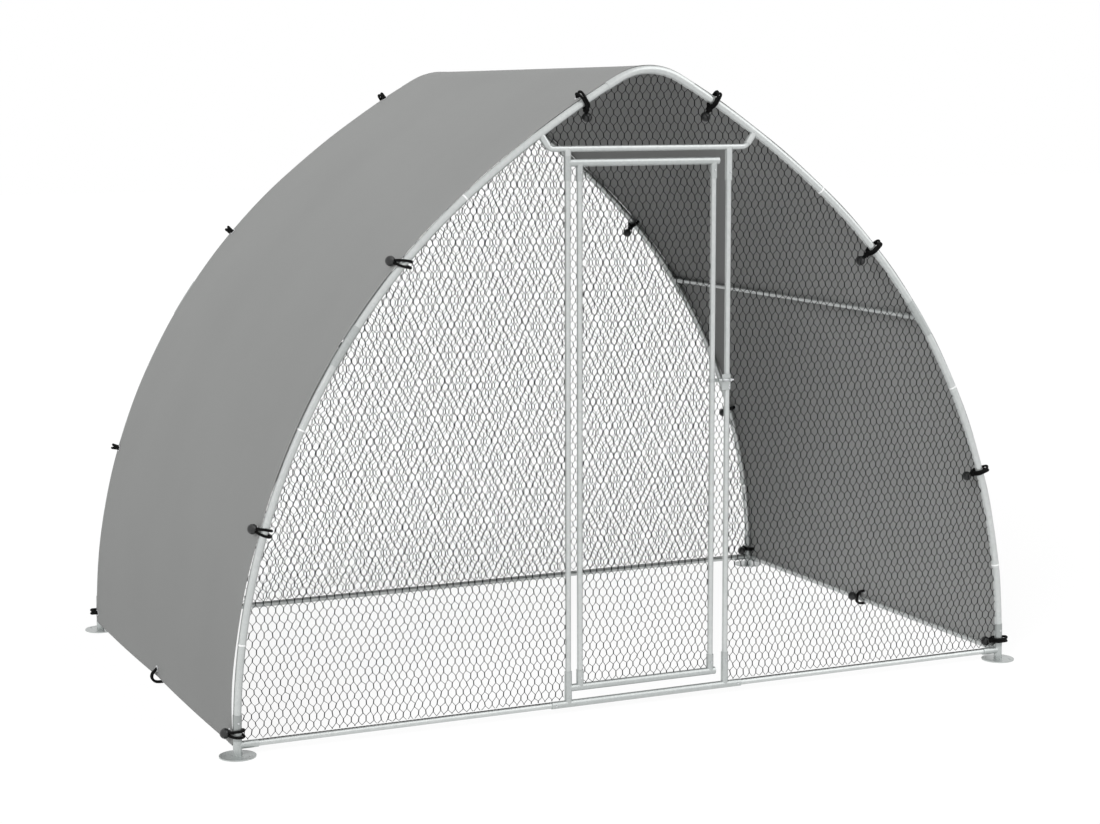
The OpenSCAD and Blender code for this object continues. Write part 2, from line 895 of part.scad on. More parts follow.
module door_screws() {
    color(steel)
        at_front()
            on_front(stile_screws, socket_d) screw();
}

// Local frame of a tie: X points out of the run, Y goes from the tube to the eyelet, Z lies along the tube
module at_tie(side, end, a) {
    p = arch_point(a);
    corner(side, end)
        translate([p.x, 0, p.y])
            rotate([0, -a, 0])
                children();
}

module at_side_tie(side) {
    mirror([side < 0 ? 1 : 0, 0, 0])
        translate([span / 2, 0, rail_h])
            rotate([90, 0, 0])
                children();
}

module each_tie() {
    for (side = [left, right], end = [front, rear], i = [0 : len(tie_turns) - 1]) {
        $outside = len([for (o = outside_balls) if (o == [side, end, i]) o]) > 0;
        $neck = $outside ? outer_neck : i < 2 ? shoulder_neck : ball_neck;
        at_tie(side, end, tie_turns[i]) children();
    }
    for (side = [left, right]) {
        $outside = false;
        $neck = ball_neck;
        at_side_tie(side) children();
    }
}

// Cloth over both arches in flat strips that clear the sleeves, cut straight along its lower edges
module cover() {
    color(cloth)
        difference() {
            translate([0, depth / 2, 0])
                rotate([90, 0, 0])
                    linear_extrude(depth)
                        difference() {
                            polygon(arch_outline(cover_out + cover_ease));
                            polygon(arch_outline(cover_in + cover_ease));
                            translate([-span, -span]) square([2 * span, span + cover_low]);
                        }
            each_tie()
                translate([0, eyelet_in, 0])
                    along_x()
                        cylinder(d = eyelet_hole, h = cover_out + sleeve_d);
        }
}

// Eyelets hold the cloth between two lips
module eyelets() {
    color(steel)
        each_tie()
            translate([0, eyelet_in, 0])
                along_x()
                    eyelet();
}

module eyelet() {
    lip = eyelet_lip + fit;
    reach = cover_t + cover_ease + 2 * lip;
    difference() {
        union() {
            translate([0, 0, cover_in - lip]) cylinder(d = eyelet_hole - fit, h = reach);
            translate([0, 0, cover_in - lip]) cylinder(d = eyelet_d, h = eyelet_lip);
            translate([0, 0, cover_out + cover_ease + fit]) cylinder(d = eyelet_d, h = eyelet_lip);
        }
        translate([0, 0, cover_in - lip - over])
            cylinder(d = eyelet_bore, h = reach + 2 * over);
    }
}

// Elastic cord: a rounded loop round the tube and through the eyelet, with a neck to the ball
module tie_cords() {
    color(rubber)
        each_tie() {
            cord_loop();
            cord_neck();
        }
}

module cord_loop() {
    low = [cord_in, cord_in];
    high = [cord_out, eyelet_in];
    corners = [[low.x, low.y, 180], [high.x, low.y, 270], [high.x, high.y, 0], [low.x, high.y, 90]];
    for (c = corners)
        translate([c.x - sign(c.x) * cord_bend, c.y - sign(c.y) * cord_bend, 0])
            rotate([0, 0, c.z])
                rotate_extrude(angle = 90)
                    translate([cord_bend, 0])
                        circle(d = cord_d);
    for (x = [low.x, high.x])
        translate([x, low.y + cord_bend, 0])
            along_y()
                cylinder(d = cord_d, h = high.y - low.y - 2 * cord_bend);
    for (y = [low.y, high.y])
        translate([low.x + cord_bend, y, 0])
            along_x()
                cylinder(d = cord_d, h = high.x - low.x - 2 * cord_bend);
}

// Places the ball on its neck: inside the run beside the net, or outside on the cover
module at_ball() {
    if ($outside)
        translate([cord_out, eyelet_in / 2, 0]) along_x() children();
    else
        translate([cord_in, ball_in, 0]) along_x_back() children();
}

module cord_neck() {
    at_ball() cylinder(d = cord_d, h = $neck + ball_d / 2);
}

module tie_balls() {
    color(rubber)
        each_tie()
            at_ball()
                difference() {
                    translate([0, 0, $neck + ball_d / 2]) sphere(d = ball_d);
                    cylinder(d = cord_d + 2 * fit, h = $neck + ball_d / 2 + fit);
                }
}

foot(left, front);  // foot_front_left
foot(right, front);  // foot_front_right
foot(left, rear);  // foot_rear_left
foot(right, rear);  // foot_rear_right
leg(left, front);  // leg_front_left
leg(right, front);  // leg_front_right
leg(left, rear);  // leg_rear_left
leg(right, rear);  // leg_rear_right
flank(left, front);  // flank_front_left
flank(right, front);  // flank_front_right
flank(left, rear);  // flank_rear_left
flank(right, rear);  // flank_rear_right
haunch(left, front);  // haunch_front_left
haunch(right, front);  // haunch_front_right
haunch(left, rear);  // haunch_rear_left
haunch(right, rear);  // haunch_rear_right
shoulder(left, front);  // shoulder_front_left
shoulder(right, front);  // shoulder_front_right
shoulder(left, rear);  // shoulder_rear_left
shoulder(right, rear);  // shoulder_rear_right
purlin_tee(left, front);  // purlin_tee_front_left
purlin_tee(right, front);  // purlin_tee_front_right
purlin_tee(left, rear);  // purlin_tee_rear_left
purlin_tee(right, rear);  // purlin_tee_rear_right
peak_connector(front);  // peak_connector_front
peak_connector(rear);  // peak_connector_rear
ridge_tube();
purlin(left);  // purlin_left
purlin(right);  // purlin_right
header_elbow(left);  // header_elbow_left
header_elbow(right);  // header_elbow_right
header();
post(-post_x);  // hinge_post
post(post_x);  // latch_post
threshold();
front_rail(left);  // front_rail_left
front_rail(right);  // front_rail_right
rear_rail();
side_rail(left);  // side_rail_left
side_rail(right);  // side_rail_right
door_top_rail();
door_bottom_rail();
door_stile(stile_left);  // door_hinge_stile
door_stile(stile_right);  // door_latch_stile
door_net();
front_net(left);  // front_net_left
front_net(right);  // front_net_right
gable_net();
rear_net();
latch_plate();
latch_bolt();
latch_keeper();
frame_screws();
door_screws();
cover();
eyelets();
tie_cords();
tie_balls();
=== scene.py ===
import bpy
import json
import math
import numpy as np
from mathutils import Euler, Matrix, Vector


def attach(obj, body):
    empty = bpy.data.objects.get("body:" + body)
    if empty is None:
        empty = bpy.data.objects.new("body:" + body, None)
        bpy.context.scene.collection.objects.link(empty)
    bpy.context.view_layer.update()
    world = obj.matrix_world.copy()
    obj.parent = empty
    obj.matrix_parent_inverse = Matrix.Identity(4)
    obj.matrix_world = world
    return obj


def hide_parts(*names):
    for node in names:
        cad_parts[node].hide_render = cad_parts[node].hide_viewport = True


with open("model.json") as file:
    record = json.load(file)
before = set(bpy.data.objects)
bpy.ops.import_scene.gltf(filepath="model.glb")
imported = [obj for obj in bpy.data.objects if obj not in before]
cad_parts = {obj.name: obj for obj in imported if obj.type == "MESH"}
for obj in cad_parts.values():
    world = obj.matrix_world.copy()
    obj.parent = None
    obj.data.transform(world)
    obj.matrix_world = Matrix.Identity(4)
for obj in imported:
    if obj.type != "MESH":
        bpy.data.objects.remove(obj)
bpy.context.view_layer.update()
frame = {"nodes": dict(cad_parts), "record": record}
nodes = frame["nodes"]
print("frame loaded:", len(nodes), "nodes")

camera = {"place": (-3.243, -7.251, 1.982), "pitchDown": 8.04, "yaw": 24.48, "roll": -0.144,
          "focalPx": 2216.9, "imageWidth": 1100, "sensor": 36, "farthest": 200}
light = {"world": 0.23, "key": 2.95, "keyFrom": (-0.70, -0.58, 0.41), "keySoft": 30,
         "fill": 0.95, "fillFrom": (0.7, -0.45, 0.6), "fillSoft": 60,
         "floorTone": "ECECEC", "floorGlow": 0.86, "glowStrength": 1.08, "floorHalf": 40, "floorZ": -0.0005}
# the peaked arch: foot, leg bend, shoulder bend, peak bend
arch = {"span": 2.8, "depth": 1.8, "spring": 0.045, "legR": 2.134, "legTurn": 50.0,
        "shoulderR": 3.394, "peakR": 0.221, "tube": 0.0125}
doorway = {"postX": 0.289, "headerH": 1.82675, "headerAt": 55.407, "rodR": 0.0095, "socketR": 0.0122,
           "railH": 0.035, "stiles": (-0.247, 0.233), "doorRails": (0.087, 1.78275), "hingeLen": 0.056}
waveMm = 314.0  # wave texture scale at which one band is 1 mm wide


# small helpers

def hexColour(text):
    rgb = [int(text[i:i + 2], 16) / 255 for i in (0, 2, 4)]
    return tuple(c / 12.92 if c <= 0.04045 else ((c + 0.055) / 1.055) ** 2.4 for c in rgb) + (1.0,)


def addNode(tree, kind, links=None, **settings):
    made = tree.nodes.new(kind)
    for key, value in settings.items():
        if hasattr(made, key):
            setattr(made, key, value)
        else:
            made.inputs[key.replace("_", " ")].default_value = value
    for socket, source in (links or {}).items():
        tree.links.new(source, made.inputs[socket])
    return made


def newMaterial(name):
    made = bpy.data.materials.new(name)
    made.use_nodes = True
    tree = made.node_tree
    tree.nodes.clear()
    shader = addNode(tree, "ShaderNodeBsdfPrincipled")
    addNode(tree, "ShaderNodeOutputMaterial", {"Surface": shader.outputs[0]})
    return made, tree, shader


def meshPiece(name, store, material, body, smooth=True):
    data = bpy.data.meshes.new(name)
    data.from_pydata([tuple(v) for v in store[0]], [], [tuple(f) for f in store[1]])
    data.validate()
    data.materials.append(material)
    data.polygons.foreach_set("use_smooth", [smooth] * len(data.polygons))
    piece = bpy.data.objects.new(name, data)
    bpy.context.scene.collection.objects.link(piece)
    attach(piece, body)
    return piece


def addTo(store, made):
    start = len(store[0])
    store[0].extend(made[0])
    store[1].extend(tuple(i + start for i in f) for f in made[1])


def turnWay(angle):  # the way out of the arch at a turn, in degrees from level
    return np.array([math.cos(math.radians(angle)), math.sin(math.radians(angle))])


def sideFrame(axis):  # an axis of length one and two directions square to it
    axis = axis / np.linalg.norm(axis)
    u = np.cross(axis, [0.2, 0.9, 0.37])
    u /= np.linalg.norm(u)
    return axis, u, np.cross(axis, u)


def ringWays(u, v, sides):  # evenly spread directions round an axis
    turns = [2 * math.pi * k / sides for k in range(sides)]
    return [math.cos(a) * u + math.sin(a) * v for a in turns]


def tubeAlong(points, radius, sides, closed):
    pts = np.asarray(points, float)
    count = len(pts)
    ahead = np.roll(pts, -1, 0) - np.roll(pts, 1, 0)
    if not closed:
        ahead[0], ahead[-1] = pts[1] - pts[0], pts[-1] - pts[-2]
    ahead /= np.linalg.norm(ahead, axis=1)[:, None]
    side = np.cross(ahead[0], [0.31, 0.17, 0.94])
    side /= np.linalg.norm(side)
    verts = []
    for i in range(count):
        side = side - ahead[i] * (side @ ahead[i])
        side /= np.linalg.norm(side)
        up = np.cross(ahead[i], side)
        verts += [pts[i] + radius * way for way in ringWays(side, up, sides)]
    faces = []
    last = 0
    if closed:  # the last ring is turned to meet the first
        ends = [(v - verts[0]) @ (v - verts[0]) for v in verts[-sides:]]
        last = int(np.argmin(ends))
    for i in range(count if closed else count - 1):
        j = (i + 1) % count
        for k in range(sides):
            shift = last if closed and j == 0 else 0
            a, b = i * sides + (k + shift) % sides, i * sides + (k + 1 + shift) % sides
            faces.append((a, b, j * sides + (k + 1) % sides, j * sides + k))
    if not closed:
        faces.append(tuple(range(sides))[::-1])
        faces.append(tuple((count - 1) * sides + k for k in range(sides)))
    return verts, faces


# the arch as a line: leg, shoulder and peak bends meet on a common tangent

legC = np.array([arch["span"] / 2 - arch["legR"], arch["spring"]])
shoulderC = legC + (arch["legR"] - arch["shoulderR"]) * turnWay(arch["legTurn"])
peakTurn = math.degrees(math.acos(-shoulderC[0] / (arch["shoulderR"] - arch["peakR"])))
peakC = np.array([0.0, shoulderC[1] + (arch["shoulderR"] - arch["peakR"]) * math.sin(math.radians(peakTurn))])
halfDepth = arch["depth"] / 2
frontY, rearY = -halfDepth, halfDepth


def archPoint(angle, out=0.0):
    if angle <= arch["legTurn"]:
        return legC + (arch["legR"] + out) * turnWay(angle)
    if angle <= peakTurn:
        return shoulderC + (arch["shoulderR"] + out) * turnWay(angle)
    return peakC + (arch["peakR"] + out) * turnWay(angle)


def archAngles(start, end, step=1.0):
    inner = [a for a in np.arange(math.ceil(start / step) * step, end, step) if a > start + 0.2]
    marks = [a for a in (arch["legTurn"], peakTurn) if start < a < end]
    return sorted({start, end, *inner, *marks})


# materials, each from the real one

def galvanisedSteel(name, tone, dark, spangle, socket=None):
    made, tree, shader = newMaterial(name)  # hot-dip zinc: soft grey sheen with faint crystal patches
    where = addNode(tree, "ShaderNodeTexCoord").outputs["Object"]
    crystals = addNode(tree, "ShaderNodeTexVoronoi", {"Vector": where}, Scale=1000 / spangle)
    cloud = addNode(tree, "ShaderNodeTexNoise", {"Vector": where}, Scale=1000 / 90, Detail=4.0)  # 90 mm
    mix = addNode(tree, "ShaderNodeMath", {0: crystals.outputs["Color"], 1: cloud.outputs["Fac"]},
                  operation="MULTIPLY")
    ramp = addNode(tree, "ShaderNodeValToRGB", {"Fac": mix.outputs[0]})
    ramp.color_ramp.elements[0].color = hexColour(dark)
    ramp.color_ramp.elements[1].color = hexColour(tone)
    ramp.color_ramp.elements[1].position = 0.5
    rough = addNode(tree, "ShaderNodeMapRange", {"Value": cloud.outputs["Fac"]}, To_Min=0.26, To_Max=0.36)
    bump = addNode(tree, "ShaderNodeBump", {"Height": cloud.outputs["Fac"]}, Strength=0.04, Distance=0.0006)
    colour = ramp.outputs[0]
    if socket:  # painted shade: the upper sleeve of a fitting is drawn darker than its plate, as it stands upright out of the light; given as height above the ground, colour
        apart = addNode(tree, "ShaderNodeSeparateXYZ", {0: where})
        above = addNode(tree, "ShaderNodeMath", {0: apart.outputs["Z"]}, operation="GREATER_THAN")
        above.inputs[1].default_value = socket[0]
        sleeveShadeMix = addNode(tree, "ShaderNodeMixRGB", {"Fac": above.outputs[0], "Color1": colour})
        sleeveShadeMix.inputs["Color2"].default_value = hexColour(socket[1])
        colour = sleeveShadeMix.outputs[0]
    tree.links.new(colour, shader.inputs["Base Color"])
    tree.links.new(rough.outputs[0], shader.inputs["Roughness"])
    tree.links.new(bump.outputs[0], shader.inputs["Normal"])
    shader.inputs["Metallic"].default_value = 0.62
    return made


def coatedWire():
    made, tree, shader = newMaterial("galvanised wire, dark PVC dip")  # dull dark coat with small grey rubs
    where = addNode(tree, "ShaderNodeTexCoord").outputs["Object"]
    rubs = addNode(tree, "ShaderNodeTexNoise", {"Vector": where}, Scale=1000 / 35, Detail=3.0)  # 35 mm rubs
    ramp = addNode(tree, "ShaderNodeValToRGB", {"Fac": rubs.outputs["Fac"]})
    ramp.color_ramp.elements[0].color = hexColour("060707")
    ramp.color_ramp.elements[1].color = hexColour("121313")
    tree.links.new(ramp.outputs[0], shader.inputs["Base Color"])
    shader.inputs["Roughness"].default_value = 0.72
    shader.inputs["Specular IOR Level"].default_value = 0.12
    return made


def wovenCover(name, tones, footShadeTones=None):
    made, tree, shader = newMaterial(name)  # flat matt grey, fine square weave
    where = addNode(tree, "ShaderNodeTexCoord").outputs["Object"]
    weave = waveMm / 5.0  # threads drawn 5 mm wide; real ones are near 0.5 mm and too fine to show
    warp = addNode(tree, "ShaderNodeTexWave", {"Vector": where}, bands_direction="Y", Scale=weave)
    weft = addNode(tree, "ShaderNodeTexWave", {"Vector": where}, bands_direction="Z", Scale=weave)
    cross = addNode(tree, "ShaderNodeMath", {0: warp.outputs["Fac"], 1: weft.outputs["Fac"]}, operation="ADD")
    cloud = addNode(tree, "ShaderNodeTexNoise", {"Vector": where}, Scale=1000 / 420, Detail=5.0)  # 420 mm
    ramp = addNode(tree, "ShaderNodeValToRGB", {"Fac": cloud.outputs["Fac"]})
    ramp.color_ramp.elements[0].color = hexColour(tones[0])
    ramp.color_ramp.elements[1].color = hexColour(tones[1])
    bump = addNode(tree, "ShaderNodeBump", {"Height": cross.outputs[0]}, Strength=0.12, Distance=0.0006)
    colour = ramp.outputs[0]
    if footShadeTones:  # painted shade: the cloth is drawn darker toward the foot and lighter toward the ridge, as the light falls
        low = addNode(tree, "ShaderNodeValToRGB", {"Fac": cloud.outputs["Fac"]})
        low.color_ramp.elements[0].color = hexColour(footShadeTones[0])
        low.color_ramp.elements[1].color = hexColour(footShadeTones[1])
        apart = addNode(tree, "ShaderNodeSeparateXYZ", {0: where})
        height = addNode(tree, "ShaderNodeMapRange", {"Value": apart.outputs["Z"]},
                         From_Min=0.2, From_Max=1.9)
        footShadeMix = addNode(tree, "ShaderNodeMixRGB",
                           {"Fac": height.outputs[0], "Color1": low.outputs[0], "Color2": colour})
        colour = footShadeMix.outputs[0]
    tree.links.new(colour, shader.inputs["Base Color"])
    tree.links.new(bump.outputs[0], shader.inputs["Normal"])
    shader.inputs["Roughness"].default_value = 0.78
    shader.inputs["Sheen Weight"].default_value = 0.08
    return made


def braidedCord():
    made, tree, shader = newMaterial("elastic cord, braided sleeve")  # black with a fine braid
    where = addNode(tree, "ShaderNodeTexCoord").outputs["Object"]
    braid = addNode(tree, "ShaderNodeTexWave", {"Vector": where}, bands_direction="DIAGONAL",
                    Scale=waveMm / 3.0)  # 3 mm braid
    ramp = addNode(tree, "ShaderNodeValToRGB", {"Fac": braid.outputs["Fac"]})
    ramp.color_ramp.elements[0].color = hexColour("050505")
    ramp.color_ramp.elements[1].color = hexColour("0C0C0C")
    bump = addNode(tree, "ShaderNodeBump", {"Height": braid.outputs["Fac"]}, Strength=0.3, Distance=0.0005)
    tree.links.new(ramp.outputs[0], shader.inputs["Base Color"])
    tree.links.new(bump.outputs[0], shader.inputs["Normal"])
    shader.inputs["Roughness"].default_value = 0.8
    shader.inputs["Specular IOR Level"].default_value = 0.15
    return made


def mouldedBall():
    made, tree, shader = newMaterial("polypropylene, moulded")  # black with a soft shine and fine grain
    where = addNode(tree, "ShaderNodeTexCoord").outputs["Object"]
    grain = addNode(tree, "ShaderNodeTexNoise", {"Vector": where}, Scale=1000 / 2.0, Detail=2.0)  # 2 mm grain
    ramp = addNode(tree, "ShaderNodeValToRGB", {"Fac": grain.outputs["Fac"]})
    ramp.color_ramp.elements[0].color = hexColour("1C1D1D")
    ramp.color_ramp.elements[1].color = hexColour("252626")
    bump = addNode(tree, "ShaderNodeBump", {"Height": grain.outputs["Fac"]}, Strength=0.1, Distance=0.0003)
    tree.links.new(ramp.outputs[0], shader.inputs["Base Color"])
    tree.links.new(bump.outputs[0], shader.inputs["Normal"])
    shader.inputs["Roughness"].default_value = 0.28
    return made


finish = {
    "tube_steel": galvanisedSteel("galvanised steel tube, drawn", "C8CBCA", "BEC2C1", 9.0),
    "fitting_steel": galvanisedSteel("galvanised steel fitting, pressed", "B2B6B5", "A8ACAB", 6.0),
    "bright_steel": galvanisedSteel("zinc plated steel, bright", "D8D9DA", "C4C6C8", 3.0),
    "net_wire": coatedWire(),
    # the second pair of tones is painted shade toward the foot
    "cover_cloth": wovenCover("polyester oxford, coated weave", ("8A8B8A", "929392"), ("757675", "7C7D7C")),
    "elastic_cord": braidedCord(),
    "ball_plastic": mouldedBall(),
}
# painted light: the back is drawn lighter than the outer face to lift the shaded inside of the run
coverBack = wovenCover("polyester oxford, coated back", ("909190", "979897"))
# the lip is real; its near-white tone is a painted highlight
lipSteel = galvanisedSteel("galvanised steel lip, painted highlight", "F6F7F7", "EEEFEF", 3.0)
# the darker tone above 49 mm is painted shade on the upright sleeve
footSteel = galvanisedSteel("galvanised steel foot, welded", "B8BCBB", "AEB2B1", 6.0, (0.049, "9DA1A0"))
socketSteel = galvanisedSteel("galvanised steel socket, rolled", "B9BDBC", "AFB3B2", 7.0)
socketFittings = ("threshold", "door_top_rail", "door_bottom_rail", "latch_plate", "latch_keeper")
peakFittings = ("peak_connector_front", "peak_connector_rear")
for entry in frame["record"]["subparts"]:
    data = nodes[entry["node"]].data
    data.materials.clear()
    if entry["node"].startswith("foot_"):
        data.materials.append(footSteel)
    elif entry["node"] in socketFittings:
        data.materials.append(socketSteel)
    elif entry["node"] in peakFittings:  # drawn with the tubes
        data.materials.append(finish["tube_steel"])
    else:
        data.materials.append(finish[entry["material_slot"]])
print("materials assigned:", len(finish))


# wire netting: upright twisted pairs joined by slanting single wires

net = {"pitch": 0.0249, "row": 0.02495, "twist": 0.012, "wire": 0.0022, "pair": 0.0041,
       "hem": 0.0012, "hemTurn": 0.024, "hemSteps": 6, "hemX": (0.352, 1.334), "shortest": 0.002,
       "wave": 0.0021, "shift": 0.0042, "start": 0.0382, "clear": 0.0050,
       "sink": 0.0003, "archSink": 0.0004, "swingRoom": 0.0033, "notch": 0.004, "elbowTurn": 0.15}


def insidePolygon(points, polygon):
    x, z = points[:, 0], points[:, 1]
    inside = np.zeros(len(points), bool)
    for (x0, z0), (x1, z1) in zip(polygon, np.roll(polygon, -1, 0)):
        if z0 == z1:
            continue
        crosses = (z0 > z) != (z1 > z)
        inside ^= crosses & (x < (x1 - x0) * (z - z0) / (z1 - z0) + x0)
    return inside


def clipToPolygon(a, b, polygon):  # wires that cross the outline end on it
    inA, inB = insidePolygon(a, polygon), insidePolygon(b, polygon)
    swap = inB & ~inA
    a, b = np.where(swap[:, None], b, a), np.where(swap[:, None], a, b)
    cut = inA ^ inB
    first = np.ones(len(a))
    way = b - a
    for p, q in zip(polygon, np.roll(polygon, -1, 0)):
        edge = q - p
        across = way[:, 0] * edge[1] - way[:, 1] * edge[0]
        with np.errstate(divide="ignore", invalid="ignore"):
            t = ((p[0] - a[:, 0]) * edge[1] - (p[1] - a[:, 1]) * edge[0]) / across
            u = ((p[0] - a[:, 0]) * way[:, 1] - (p[1] - a[:, 1]) * way[:, 0]) / across
        hit = (across != 0) & (t > 1e-9) & (t < first) & (u >= 0) & (u <= 1)
        first = np.where(hit, t, first)
    keep = (inA & inB) | (cut & (first * np.linalg.norm(way, axis=1) > net["shortest"]))
    return a[keep], (a + way * first[:, None])[keep]


def wireBars(a, b, y, wide, deep, sides):
    way = b - a
    way = way / np.linalg.norm(way, axis=1)[:, None]
    across = np.stack([-way[:, 1], way[:, 0]], 1)
    count = len(a)
    verts = np.zeros((count, 2 * sides, 3))
    for k in range(sides):
        turn = 2 * math.pi * (k + 0.5) / sides
        c, s = math.cos(turn) * wide, math.sin(turn) * deep
        for end, base in ((0, a), (1, b)):
            verts[:, end * sides + k, 0] = base[:, 0] + across[:, 0] * c
            verts[:, end * sides + k, 2] = base[:, 1] + across[:, 1] * c
            verts[:, end * sides + k, 1] = y + s
    one = [(k, (k + 1) % sides, sides + (k + 1) % sides, sides + k) for k in range(sides)]
    one += [tuple(range(sides))[::-1], tuple(range(sides, 2 * sides))]
    faces = [tuple(i * 2 * sides + v for v in f) for i in range(count) for f in one]
    return verts.reshape(-1, 3).tolist(), faces


def pulledMesh(bars, seed):  # woven netting is never quite even: long waves and a small shift at each joint
    x, z = bars[..., 0], bars[..., 1]
    waveX = np.sin(z * 23 + seed) + np.sin(z * 9 + x * 7 + seed * 2)
    waveZ = np.sin(x * 19 + seed * 3) + np.sin(x * 8 - z * 11 + seed)
    wave = net["wave"] * np.stack([waveX, waveZ], -1)
    joint = np.floor(bars / 0.001 + 0.37)  # no joint lies on this step, so wires that meet shift alike
    hashed = np.sin(joint[..., 0] * 12.9898 + joint[..., 1] * 78.233 + seed) * 437.585
    shift = np.stack([hashed - np.floor(hashed), hashed * 7 - np.floor(hashed * 7)], -1) - 0.5
    return bars + wave + net["shift"] * shift


def woundHem(start, end, y, phase):  # one of two wires wound together along the rail
    (x0, z0), (x1, z1) = start, end
    steps = int(math.hypot(x1 - x0, z1 - z0) / net["hemTurn"] * net["hemSteps"])
    line = []
    for i in range(steps + 1):
        a = phase + 2 * math.pi * i / net["hemSteps"]
        line.append((x0 + (x1 - x0) * i / steps, y + net["hem"] * 0.5 * math.cos(a),
                     z0 + (z1 - z0) * i / steps + net["hem"] * 0.5 * math.sin(a)))
    return tubeAlong(line, net["hem"] * 0.55, 4, False)


def netPanel(name, polygon, y, body, replaced, hemLines):
    polygon = np.array(polygon)
    low, high = polygon.min(0), polygon.max(0)
    uprights, slants = [], []
    for k in range(int((high[1] - low[1]) / net["row"]) + 3):
        rowIndex = k + math.floor((low[1] - net["start"]) / net["row"]) - 1
        z = net["start"] + rowIndex * net["row"]
        shift = 0.5 * (rowIndex % 2)
        for j in range(int(low[0] / net["pitch"]) - 2, int(high[0] / net["pitch"]) + 3):
            x = (j + shift) * net["pitch"]
            top = z + net["twist"]
            uprights.append(((x, z), (x, top)))
            for side in (-0.5, 0.5):
                slants.append(((x, top), (x + side * net["pitch"], z + net["row"])))
    seed = sum(ord(c) for c in name)
    store = ([], [])
    for bars, wide, deep, sides in ((uprights, net["pair"] * 0.5, net["pair"] * 0.3, 4),
                                    (slants, net["wire"] * 0.5, net["wire"] * 0.5, 3)):
        bars = pulledMesh(np.array(bars), seed)
        a, b = clipToPolygon(bars[:, 0], bars[:, 1], polygon)
        addTo(store, wireBars(a, b, y, wide, deep, sides))
    for start, end in hemLines:
        for phase in (0, math.pi):
            addTo(store, woundHem(start, end, y, phase))
    piece = meshPiece(name, store, finish["net_wire"], body, smooth=False)
    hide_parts(replaced)
    print(name, len(store[1]), "faces")


def archEdge(start, end):  # the net ends just inside the tube
    return [tuple(archPoint(a, -arch["tube"] + net["archSink"])) for a in archAngles(start, end)]


def mirrorX(points):
    return [(-x, z) for x, z in points][::-1]


netLow = doorway["railH"] + doorway["rodR"] + net["clear"]
headerP = archPoint(doorway["headerAt"])
stubDir = turnWay(doorway["headerAt"])
elbowV = headerP - stubDir * (headerP[1] - doorway["headerH"]) / stubDir[1]
stubSide = np.array([stubDir[1], -stubDir[0]]) * (doorway["socketR"] - net["sink"])
rodIn, socketIn = doorway["rodR"] - net["sink"], doorway["socketR"] - net["sink"]
lowRail, highRail = doorway["doorRails"]

rightArch = archEdge(0, 90)
rearOutline = [(rightArch[0][0], netLow)] + rightArch + mirrorX(rightArch[:-1]) + [(-rightArch[0][0], netLow)]

postEdge = doorway["postX"] + rodIn
sideArch = archEdge(0, doorway["headerAt"] - net["elbowTurn"])
frontTop = [tuple(elbowV + stubSide), (postEdge, doorway["headerH"] - rodIn)]
frontRight = [(postEdge, netLow), (sideArch[0][0], netLow)] + sideArch + frontTop

sleeveEdge = doorway["postX"] + doorway["socketR"] + net["swingRoom"]  # room for the door rails to swing past
sleeveLow, sleeveHigh = lowRail + doorway["hingeLen"], highRail - doorway["hingeLen"]
frontHinge = [(sleeveEdge, netLow)] + frontRight[1:-1]
frontHinge += [(sleeveEdge, frontTop[1][1]), (sleeveEdge, sleeveHigh), (postEdge, sleeveHigh - net["notch"]),
               (postEdge, sleeveLow + net["notch"]), (sleeveEdge, sleeveLow)]

gableFoot = [(elbowV[0] - 0.006, doorway["headerH"] + rodIn), tuple(elbowV - stubSide + stubDir * 0.008)]
gableRight = gableFoot + archEdge(doorway["headerAt"] + net["elbowTurn"], 90)
gable = gableRight + mirrorX(gableRight[:-1])

doorLow, doorHigh = lowRail + socketIn, highRail - socketIn
doorLeft, doorRight = doorway["stiles"][0] + rodIn, doorway["stiles"][1] - rodIn
doorPanel = [(doorLeft, doorLow), (doorRight, doorLow), (doorRight, doorHigh), (doorLeft, doorHigh)]

hemZ = doorway["railH"] + doorway["rodR"] + net["hem"] * 0.9
hemNear, hemFar = net["hemX"]
netPanel("netRear", rearOutline, rearY, "frame", "rear_net", [((-hemFar, hemZ), (hemFar, hemZ))])
netPanel("netFrontRight", frontRight, frontY, "frame", "front_net_right", [((hemNear, hemZ), (hemFar, hemZ))])
netPanel("netFrontLeft", mirrorX(frontHinge), frontY, "frame", "front_net_left",
         [((-hemFar, hemZ), (-hemNear, hemZ))])
netPanel("netGable", gable, frontY, "frame", "gable_net", [])
netPanel("netDoor", doorPanel, frontY, "door", "door_net", [])
print("netting made")


# arch tubes: a swaged lip where each plugs into the next, drawn near white as a painted highlight along the
# seam

lips = {"turns": (8.1, 26.3, 50.0), "out": 0.0010, "half": 0.0026, "sides": 32}


def archLips():
    store = ([], [])
    for sideX in (-1, 1):
        for y in (frontY, rearY):
            for a in lips["turns"]:
                p, turn = archPoint(a), math.radians(a)
                ends = [(sideX * (p[0] - math.sin(turn) * s), y, p[1] + math.cos(turn) * s)
                        for s in (-lips["half"], lips["half"])]
                addTo(store, tubeAlong(ends, arch["tube"] + lips["out"], lips["sides"], False))
    meshPiece("tubeLips", store, lipSteel, "frame", smooth=False)


archLips()
print("tube lips made")


# cover: one sheet over both arches, tied along its edges and a little slack between the ties

